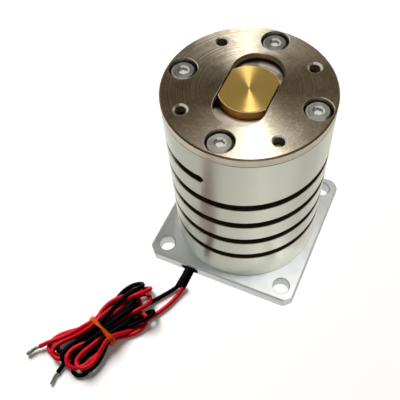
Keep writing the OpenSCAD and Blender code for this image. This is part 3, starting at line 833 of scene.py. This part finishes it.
def hull2(points):
    """Convex hull of points in the plane, counter-clockwise."""
    pts = sorted(set((round(float(a), 5), round(float(b), 5)) for a, b in points))

    def half(seq):
        out = []
        for p in seq:
            while len(out) >= 2 and (out[-1][0] - out[-2][0]) * (p[1] - out[-2][1]) - (out[-1][1] - out[-2][1]) * (p[0] - out[-2][0]) <= 0:
                out.pop()
            out.append(p)
        return out[:-1]

    return np.array(half(pts) + half(pts[::-1]))


def rubber_band():
    """An elastic band wound twice round the waist of the hank; its two runs cross on top."""
    ring = []
    for q in LEADS:
        near = q[np.abs(q[:, 0]) < 1.9]
        for k in range(24):
            a = 2 * math.pi * k / 24
            ring += [(t + LEAD_D / 2 * math.cos(a), z + LEAD_D / 2 * math.sin(a)) for _, t, z in near]
    h = hull2(ring)
    h = np.vstack([h, h[:1]])
    line, _ = resample(np.column_stack([h, np.zeros(len(h))]), 0.1)
    out = line[:-1, :2]
    mid = np.array([(out[:, 0].max() + out[:, 0].min()) / 2, (out[:, 1].max() + out[:, 1].min()) / 2])
    # start at the middle of the underside
    k0 = int(np.argmin(np.abs(out[:, 0] - mid[0]) + (out[:, 1] > mid[1]) * 100))
    out = np.roll(out, -k0, 0)
    for _ in range(6):
        out = 0.25 * np.roll(out, 1, 0) + 0.5 * out + 0.25 * np.roll(out, -1, 0)
    n = len(out)
    nrm = np.stack([np.roll(out, -1, 0)[:, 1] - np.roll(out, 1, 0)[:, 1], -(np.roll(out, -1, 0)[:, 0] - np.roll(out, 1, 0)[:, 0])], 1)
    nrm /= np.linalg.norm(nrm, axis=1)[:, None]
    half_w, half_t = 0.50, 0.17
    path, lift_n, side = [], [], []
    for turn in range(2):
        for i in range(n):
            f = i / n + turn
            s = 0.46 * math.cos(math.pi * f)
            top = math.exp(-((i / n - 0.5) / 0.055) ** 2)
            lift = half_t + 0.03 + (0.34 * top if turn == 1 else 0.0)
            p = out[i] + nrm[i] * lift
            path.append((s, p[0], p[1]))
            lift_n.append((0.0, nrm[i][0], nrm[i][1]))
            side.append(top)
    path = np.array(path)
    lift_n = np.array(lift_n)
    for _ in range(3):
        path = 0.25 * np.roll(path, 1, 0) + 0.5 * path + 0.25 * np.roll(path, -1, 0)
    tang = np.roll(path, -1, 0) - np.roll(path, 1, 0)
    tang /= np.linalg.norm(tang, axis=1)[:, None]
    across = np.cross(tang, lift_n)
    across /= np.linalg.norm(across, axis=1)[:, None]
    up = np.cross(across, tang)
    m = 16
    verts, faces = [], []
    count = len(path)
    for i in range(count):
        # the band rolls over itself where its runs cross
        roll = math.radians(38) * side[i] * (1 if i < n else -1)
        narrow = 1 - 0.28 * side[i]
        for k in range(m):
            a = 2 * math.pi * k / m
            ca, sa = math.cos(a), math.sin(a)
            u = half_w * narrow * math.copysign(abs(ca) ** 0.55, ca)
            w = half_t * (1 + 0.4 * side[i]) * math.copysign(abs(sa) ** 0.7, sa)
            u, w = u * math.cos(roll) - w * math.sin(roll), u * math.sin(roll) * 0.5 + w * math.cos(roll)
            verts.append(path[i] + u * across[i] + w * up[i])
    for i in range(count):
        j = (i + 1) % count
        for k in range(m):
            l = (k + 1) % m
            faces.append((i * m + k, i * m + l, j * m + l, j * m + k))
    verts = np.array(verts)
    verts[:, 2] = np.maximum(verts[:, 2], 0.02)
    return obj_from("rubber_band_loop", from_hank(verts), faces, M["band"], sharp=70)


band = rubber_band()


def sleeve():
    """Shrink sleeve: an oval tube, drawn in over the two leads at its mouth, with a thin open lip and shallow wrinkles."""
    path, _ = resample(smooth_line([(-8.6, -16.6, 1.5), (-8.6, -20, 1.5), (-8.6, -24, 1.5), (-8.72, -27.9, 1.5)], 12), 0.16)
    s = arc_length(path)
    m = 48
    rings, radii = [], []
    for i in range(len(path)):
        e = s[-1] - s[i]
        wrinkle = 0.022 * math.sin(s[i] * 5.1 + 0.7 * math.sin(s[i] * 1.7)) + 0.012 * math.sin(s[i] * 11.3 + 1.0)
        side = 1.42 + wrinkle + 0.10 * math.exp(-(e / 2.2) ** 2)
        tall = 1.18 + wrinkle * 0.7 - 0.24 * math.exp(-(e / 1.6) ** 2)
        radii.append((side, tall))
    verts, faces = [], []

    def ring(i, inset, at=None):
        side, tall = radii[i]
        base = len(verts)
        c = path[i] if at is None else at
        for k in range(m):
            a = 2 * math.pi * k / m
            pinch = 1 - 0.10 * math.exp(-((s[-1] - s[i]) / 1.8) ** 2) * abs(math.sin(a)) ** 6
            verts.append((c[0] + (side - inset) * math.cos(a), c[1], max(c[2] + (tall - inset) * pinch * math.sin(a), 0.03)))
        return base

    bases = [ring(i, 0.0) for i in range(len(path))]
    lip = ring(len(path) - 1, 0.05, path[-1] + np.array([0, -0.06, 0]))
    lip2 = ring(len(path) - 1, 0.22, path[-1] + np.array([0, -0.05, 0]))
    inner = ring(len(path) - 1, 0.28, path[-1] + np.array([0, 1.6, 0]))
    order = bases + [lip, lip2, inner]
    for a, b in zip(order[:-1], order[1:]):
        for k in range(m):
            l = (k + 1) % m
            faces.append((a + k, a + l, b + l, b + k))
    faces.append(tuple(bases[0] + k for k in range(m)))
    faces.append(tuple(inner + k for k in range(m)))
    return obj_from("sleeve_skin", verts, faces, M["sleeve"], sharp=50)


sleeve_skin = sleeve()


def grommet():
    """Rubber plug in the cable notch: rounded block with a raised collar round the sleeve."""
    lo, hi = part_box("cable_grommet")
    lo, hi = np.array(lo) / MM, np.array(hi) / MM
    cx, cz = (lo[0] + hi[0]) / 2, (lo[2] + hi[2]) / 2
    hx, hz = (hi[0] - lo[0]) / 2, (hi[2] - lo[2]) / 2
    m = 64
    verts, faces = [], []

    def ring(y, kx, kz, power):
        base = len(verts)
        for k in range(m):
            a = 2 * math.pi * k / m
            ca, sa = math.cos(a), math.sin(a)
            verts.append((cx + kx * math.copysign(abs(ca) ** power, ca), y, cz + kz * math.copysign(abs(sa) ** power, sa)))
        return base

    y0, y1 = lo[1], hi[1]
    rows = [ring(y1, hx - 0.3, hz - 0.3, 0.30), ring(y1 - 0.08, hx - 0.08, hz - 0.08, 0.26), ring(y1 - 0.3, hx, hz, 0.24),
            ring(y0 + 0.3, hx, hz, 0.24), ring(y0 + 0.08, hx - 0.08, hz - 0.08, 0.26), ring(y0, hx - 0.3, hz - 0.3, 0.30),
            ring(y0, 1.75, min(1.42, hz - 0.05), 0.8), ring(y0 + 0.35, 1.5, 1.36, 0.95), ring(y0 + 1.2, 1.36, 1.26, 1.0)]
    for a, b in zip(rows[:-1], rows[1:]):
        for k in range(m):
            l = (k + 1) % m
            faces.append((a + k, a + l, b + l, b + k))
    faces.append(tuple(rows[0] + k for k in range(m)))
    faces.append(tuple(rows[-1] + k for k in range(m)))
    return obj_from("cable_grommet_plug", verts, faces, M["grommet"], sharp=40)


plug = grommet()

for piece, slot, gone in ((red_wire, "lead_red", ("red_lead", "red_tail", "lead_hank")), (black_wire, "lead_black", ("black_lead", "black_tail", "lead_hank")),
                          (red_bare, "tinned_wire", ("red_tip",)), (black_bare, "tinned_wire", ("black_tip",)), (band, "band_orange", ("rubber_band",)),
                          (sleeve_skin, "sleeve_black", ("lead_sleeve",)), (plug, "grommet_rubber", ("cable_grommet",))):
    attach(piece, "stator")
    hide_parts(*gone)

# ---------------------------------------------------------------- spring body

def spring_body():
    """Round wall cut by one helical slot with relief holes at its ends; edges are broken all along the slot."""
    R0, RI = 20.0, 17.0
    half, ae, brk = 1.1, 1.2, 0.13
    z_top, z_bot, c = 54.6, 4.0, 0.22
    start, pitch, turns, z_start = math.radians(-101.6), 7.8, 4.5, 45.9
    last = 360.0 * turns

    def slot_at(u0, k):
        """Middle, outer half-height, inner half-height and depth of the broken edge of slot turn k at column u0."""
        u = u0 + 360 * k
        x = min(math.radians(u), math.radians(last - u)) * R0
        if x < -(ae + brk) + 1e-9:
            return (z_start if u < 180 else z_start - pitch * turns - 0.05, 0.0, 0.0, 0.0)
        zc = z_start - pitch * u / 360

        def reach(rad, flat):
            return flat if x > math.sqrt(max(rad * rad - flat * flat, 0)) else math.sqrt(max(rad * rad - x * x, 0))

        ho = reach(ae + brk, half + brk)
        if x <= -ae + 1e-9:
            return (zc, ho, 0.0, max(brk - (-x - ae), 0.0))
        return (zc, ho, reach(ae, half), brk)

    extra = []
    for ue, sg in ((0.0, 1), (180.0, -1)):
        for f in np.linspace(0, math.pi / 2, 11):
            for rad in (ae, ae + brk):
                extra.append(ue - sg * math.degrees(rad * math.cos(f) / R0))
        extra.append(ue + sg * math.degrees(0.49 / R0))
        extra.append(ue + sg * math.degrees(0.9 / R0))
    extra = sorted(set(round(e, 6) for e in extra))
    base = [u for u in np.linspace(-6, 354, 289)[:-1] if min(abs(u - e) for e in extra) > 0.3]
    cols = sorted(base + extra)
    table, verts = {}, []

    def vid(r, ang, z):
        key = (round(r * math.cos(ang), 5), round(r * math.sin(ang), 5), round(z, 5))
        if key not in table:
            table[key] = len(verts)
            verts.append(key)
        return table[key]

    N, NI = 5, 3
    data = []
    for u0 in cols:
        ang = start - math.radians(u0)
        sl = [slot_at(u0, k) for k in range(5)]
        top, bot = [z_top - c] + [z - ho for z, ho, _, _ in sl], [z + ho for z, ho, _, _ in sl] + [z_bot + c]
        outer = [[vid(R0, ang, z) for z in np.linspace(a, b, N)] for a, b in zip(top, bot)]
        itop, ibot = [47.8] + [z - hi for z, _, hi, _ in sl], [z + hi for z, _, hi, _ in sl] + [9.0]
        inner = [[vid(RI, ang, z) for z in np.linspace(a, b, NI)] for a, b in zip(itop, ibot)]
        lips = [(vid(R0 - d, ang, z + hi), vid(R0 - d, ang, z - hi)) for z, _, hi, d in sl]
        ring_t = [vid(r, ang, z) for r, z in ((R0, z_top - c), (R0 - c * 0.3, z_top - c * 0.3), (R0 - c, z_top), (14.45, z_top), (14.4, z_top - 0.05), (14.4, 52.6), (13.6, 52.6), (13.6, 47.8), (RI, 47.8))]
        ring_b = [vid(r, ang, z) for r, z in ((R0, z_bot + c), (R0 - c * 0.3, z_bot + c * 0.3), (R0 - c, z_bot), (15.2, z_bot), (15.2, 9.0), (RI, 9.0))]
        data.append(dict(outer=outer, inner=inner, lips=lips, open=[s[2] > 1e-9 for s in sl], rt=ring_t, rb=ring_b))
    faces, kind = [], []

    def add(ids, k):
        f = []
        for i in ids:
            if i not in f:
                f.append(i)
        if len(f) >= 3:
            faces.append(tuple(f))
            kind.append(k)

    def strip(a, b, k):
        for i in range(len(a) - 1):
            add((a[i], a[i + 1], b[i + 1], b[i]), k)

    def zipper(a, b, k):
        """Triangles between two columns with different numbers of points."""
        i = j = 0
        while i < len(a) - 1 or j < len(b) - 1:
            step_a = j == len(b) - 1 or (i < len(a) - 1 and verts[a[i + 1]][2] >= verts[b[j + 1]][2])
            if step_a:
                add((a[i], a[i + 1], b[j]), k)
                i += 1
            else:
                add((a[i], b[j + 1], b[j]), k)
                j += 1

    for n in range(len(cols)):
        A = data[n]
        seam = n == len(cols) - 1
        B = data[0] if seam else data[n + 1]
        sh = 1 if seam else 0
        for part, k in (("outer", 0), ("inner", 1)):
            a, b = A[part], B[part]
            if seam:
                zipper(a[0], b[0] + b[1][1:], k)
                for j in (1, 2, 3):
                    strip(a[j], b[j + 1], k)
                zipper(a[4] + a[5][1:], b[5], k)
            else:
                for j in range(6):
                    strip(a[j], b[j], k)
        for j in range(5 - sh):
            jb = j + sh
            au, al, bu, bl = A["outer"][j][-1], A["outer"][j + 1][0], B["outer"][jb][-1], B["outer"][jb + 1][0]
            (alu, all_), (blu, bll) = A["lips"][j], B["lips"][jb]
            if au != al or bu != bl:
                add((au, bu, blu, alu), 2)
                add((al, bl, bll, all_), 2)
            if A["open"][j] or B["open"][jb]:
                add((alu, blu, B["inner"][jb][-1], A["inner"][j][-1]), 3)
                add((all_, bll, B["inner"][jb + 1][0], A["inner"][j + 1][0]), 3)
        strip(A["rt"], B["rt"], 4)
        strip(A["rb"], B["rb"], 4)
    ob = obj_from("spring_wall", verts, faces, M["spring"], sharp=28)
    me = ob.data
    # second material: painted shade on the slots' cut faces and the inner wall
    me.materials.append(M["cut"])
    # the round wall is exactly round
    co = np.array(verts)
    rad = np.hypot(co[:, 0], co[:, 1])
    normals = []
    for p in me.polygons:
        wall = all(abs(rad[v] - R0) < 1e-3 for v in p.vertices)
        if all(rad[v] < R0 - brk + 1e-3 for v in p.vertices) and 9.0 - 1e-3 <= min(co[v, 2] for v in p.vertices) and max(co[v, 2] for v in p.vertices) <= 47.8 + 1e-3:
            p.material_index = 1
        for v in p.vertices:
            normals.append((co[v, 0] / R0, co[v, 1] / R0, 0.0) if wall else (0.0, 0.0, 0.0))
    me.normals_split_custom_set(normals)
    return ob


spring = spring_body()
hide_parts("spring_body")
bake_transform(spring)

# ---------------------------------------------------------------- coils, threads

def coil(name, z0, z1, r0, r1, wire):
    """Winding with every turn of its outer layer standing out."""
    turns = int((z1 - z0) / wire)
    w = (z1 - z0) / turns
    prof = [(r0, z0)]
    for k in range(turns):
        zc = z0 + (k + 0.5) * w
        prof += [(r1 - w / 2 + w / 2 * math.cos(math.radians(a)), zc + w / 2 * math.sin(math.radians(a))) for a in (-84, -50, -17, 17, 50, 84)]
    prof.append((r0, z1))
    return obj_from(name, *lathe(prof, 112), M["copper"], sharp=60)


for name, node in (("upper_winding", "upper_coil"), ("lower_winding", "lower_coil")):
    lo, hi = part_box(node)
    ob = coil(name, lo.z / MM, hi.z / MM, 13.15, hi.x / MM, 0.32)
    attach(ob, "stator")
    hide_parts(node)


def thread(name, x, y, z0, z1, r, pitch, depth):
    """Screw thread in a tapped hole: one ridge that winds up the bore."""
    verts, faces = [], []
    per = 40
    n = int((z1 - z0 - 0.3) / pitch * per)
    for i in range(n + 1):
        a = 2 * math.pi * i / per
        z = z0 + 0.15 + (z1 - z0 - 0.3) * i / n
        fade = min(1.0, i / 8, (n - i) / 8)
        d = depth * fade + 0.004
        for rr, dz in ((r + 0.02, -pitch * 0.44), (r - d, -pitch * 0.06), (r - d, pitch * 0.06), (r + 0.02, pitch * 0.44)):
            verts.append((x + rr * math.cos(a), y + rr * math.sin(a), min(max(z + dz, z0 + 0.02), z1 - 0.02)))
    for i in range(n):
        for k in range(4):
            l = (k + 1) % 4
            faces.append((i * 4 + k, i * 4 + l, (i + 1) * 4 + l, (i + 1) * 4 + k))
    faces += [(0, 1, 2, 3), tuple(n * 4 + k for k in range(4))]
    return obj_from(name, verts, faces, M["thread"], sharp=30)


k45 = 16.15 * math.sqrt(0.5)
for i, (sx, sy) in enumerate(((1, 1), (-1, 1), (-1, -1), (1, -1))):
    ob = thread("load_thread_%d" % (i + 1), sx * k45, sy * k45, 54.7, 56.75, 1.25, 0.5, 0.17)
    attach(ob, "mover")

# ---------------------------------------------------------------- finish of the machined pieces

FINISH = dict(base_plate="base", top_cover="cover", cover_screws="screw", guide_post="brass", magnet_carrier="carrier", coil_bobbin="bobbin",
              bobbin_screws="black_screw", base_screws="black_screw", guide_post_screw="black_screw", magnet_ring="magnet", upper_pole="pole",
              lower_pole="pole", magnet_spacer="spacer", clamp_nut="nut", upper_bush="bush", lower_bush="bush", lower_bumper="bumper", coil_leads="copper")
for node, key in FINISH.items():
    ob = NODES[node]
    ob.data.materials.clear()
    ob.data.materials.append(M[key])

# ---------------------------------------------------------------- floor and light

def floor():
    m = Mat("floor_pale", Specular_IOR_Level=0.2)
    a = m.noise(3.0, 3.0, 0.5)
    m.set(Base_Color=m.ramp(a, (0.3, (0.885, 0.885, 0.885)), (0.7, (0.905, 0.905, 0.905))), Roughness=m.span(a, 0.62, 0.7))
    # the table stays pale far beyond the part, where the lamps no longer reach
    x, y, z = m.xyz()
    far = m.math("SQRT", m.math("ADD", m.math("MULTIPLY", x, x), m.math("MULTIPLY", y, y)))
    m.set(Emission_Color=m.ramp(a, (0.3, (0.97, 0.985, 1.0)), (0.7, (1.0, 1.0, 1.0))), Emission_Strength=m.span(far, 0.035, 0.80, 0.30, 1.30))
    me = bpy.data.meshes.new("floor")
    s = 3.0
    me.from_pydata([(-s, -s, 0), (s, -s, 0), (s, s, 0), (-s, s, 0)], [], [(0, 1, 2, 3)])
    me.materials.append(m.m)
    ob = bpy.data.objects.new("floor", me)
    ob.location = (0, 0, -0.00005)
    scene.collection.objects.link(ob)
    ob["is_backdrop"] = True
    return ob


table = floor()


def softbox(name, at, aim, w, h, watts, side=(1, 0, 0), colour=(1, 1, 1)):
    """A rectangular light; its width runs along side."""
    d = bpy.data.lights.new(name, "AREA")
    d.shape = "RECTANGLE"
    d.size, d.size_y = w, h
    d.energy = watts
    d.color = colour
    back = (Vector(at) - Vector(aim)).normalized()
    x = (Vector(side) - back * Vector(side).dot(back)).normalized()
    m = Matrix((x, back.cross(x), back)).transposed().to_4x4()
    m.translation = Vector(at)
    ob = bpy.data.objects.new(name, d)
    ob.matrix_world = m
    scene.collection.objects.link(ob)
    return ob


def only(light, receivers=None, blockers=None):
    """Keeps a light to some pieces and lets only some pieces shade it."""
    for kind, obs in (("receiver", receivers), ("blocker", blockers)):
        if obs:
            col = bpy.data.collections.new(light.name + "_" + kind)
            for ob in obs:
                col.objects.link(ob)
            setattr(light.light_linking, kind + "_collection", col)


ACROSS = (0.932, 0.362, 0.0)
SOFT = [red_wire, black_wire, red_bare, black_bare, band, sleeve_skin]
PIECES = [ob for ob in scene.objects if ob.type in ("MESH", "CURVE") and ob != table]
HARD = [ob for ob in PIECES if ob not in SOFT and ob != NODES["base_plate"]]
over = softbox("overhead", (-0.015, 0.130, 0.75), (0, 0, 0.02), 0.14, 0.30, 3.0, ACROSS, (1.0, 0.985, 0.95))
only(over, HARD)
wash = softbox("wash", (0.35, -0.12, 0.55), (0, 0, 0), 0.30, 0.30, 0.3, ACROSS, (0.96, 1.0, 1.04))
only(wash, [table], SOFT + [NODES["base_plate"]])
side = softbox("side", (0.19, 0.08, 0.72), (0, 0, 0), 0.16, 0.16, 4.2, (-0.18, 0.98, 0.0))
only(side, [NODES["base_plate"]])
fill = softbox("fill", (-0.25, -0.15, 0.72), (0, 0, 0), 0.4, 0.4, 2.0, (0.42, -0.9, 0.0), (0.92, 1.0, 1.0))
only(fill, [NODES["base_plate"]])
front = softbox("front", (-0.2, -0.9, 0.5), (0, 0, 0), 0.8, 0.5, 0.6, (1, 0, 0))
only(front, [NODES["base_plate"]])
right = softbox("right", (0.85, 0.45, 0.22), (0, 0, 0), 0.6, 0.4, 0.3, (-0.45, 0.85, 0))
only(right, [NODES["base_plate"]])
key = softbox("key", (-0.897, 0.610, 1.189), (-0.02, -0.045, 0), 0.42, 0.42, 28.0, (0.59, 0.81, 0.0))
only(key, SOFT, [ob for ob in SOFT if ob != sleeve_skin])
lamp = softbox("lamp", (-0.897, 0.610, 1.189), (-0.02, -0.045, 0), 0.85, 0.85, 38.0, (0.59, 0.81, 0.0))
only(lamp, [table], [ob for ob in SOFT if ob != sleeve_skin])
left = softbox("left", (-1.004, 0.704, 1.028), (0, 0, 0.02), 0.30, 0.30, 32.0, (0.59, 0.81, 0.0))
only(left, [spring])

world = bpy.data.worlds.new("room")
scene.world = world
world.use_nodes = True
bg = world.node_tree.nodes["Background"]
bg.inputs["Color"].default_value = (0.62, 0.41, 0.18, 1)
bg.inputs["Strength"].default_value = 0.115


def backdrop():
    """A pale round wall far behind the table. Only the camera sees it, so it lights nothing."""
    m = Mat("backdrop_pale", Specular_IOR_Level=0.2)
    a = m.noise(0.6, 2.0, 0.5)
    m.set(Base_Color=m.ramp(a, (0.3, (0.88, 0.88, 0.88)), (0.7, (0.9, 0.9, 0.9))), Roughness=m.span(a, 0.7, 0.8),
          Emission_Color=m.ramp(a, (0.3, (0.97, 0.985, 1.0)), (0.7, (1.0, 1.0, 1.0))))
    m.b.inputs["Emission Strength"].default_value = 0.8
    n, r, h = 96, 2.8, 2.0
    ring = [(r * math.cos(math.tau * i / n), r * math.sin(math.tau * i / n)) for i in range(n)]
    me = bpy.data.meshes.new("backdrop")
    me.from_pydata([(x, y, z) for z in (-0.01, h) for x, y in ring], [], [(i, (i + 1) % n, n + (i + 1) % n, n + i) for i in range(n)])
    me.materials.append(m.m)
    ob = bpy.data.objects.new("backdrop", me)
    scene.collection.objects.link(ob)
    ob.visible_diffuse = ob.visible_glossy = ob.visible_transmission = ob.visible_volume_scatter = ob.visible_shadow = False
    ob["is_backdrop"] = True


backdrop()

scene.view_settings.view_transform = "Standard"
scene.view_settings.look = "None"

# ---------------------------------------------------------------- size

lo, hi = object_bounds()
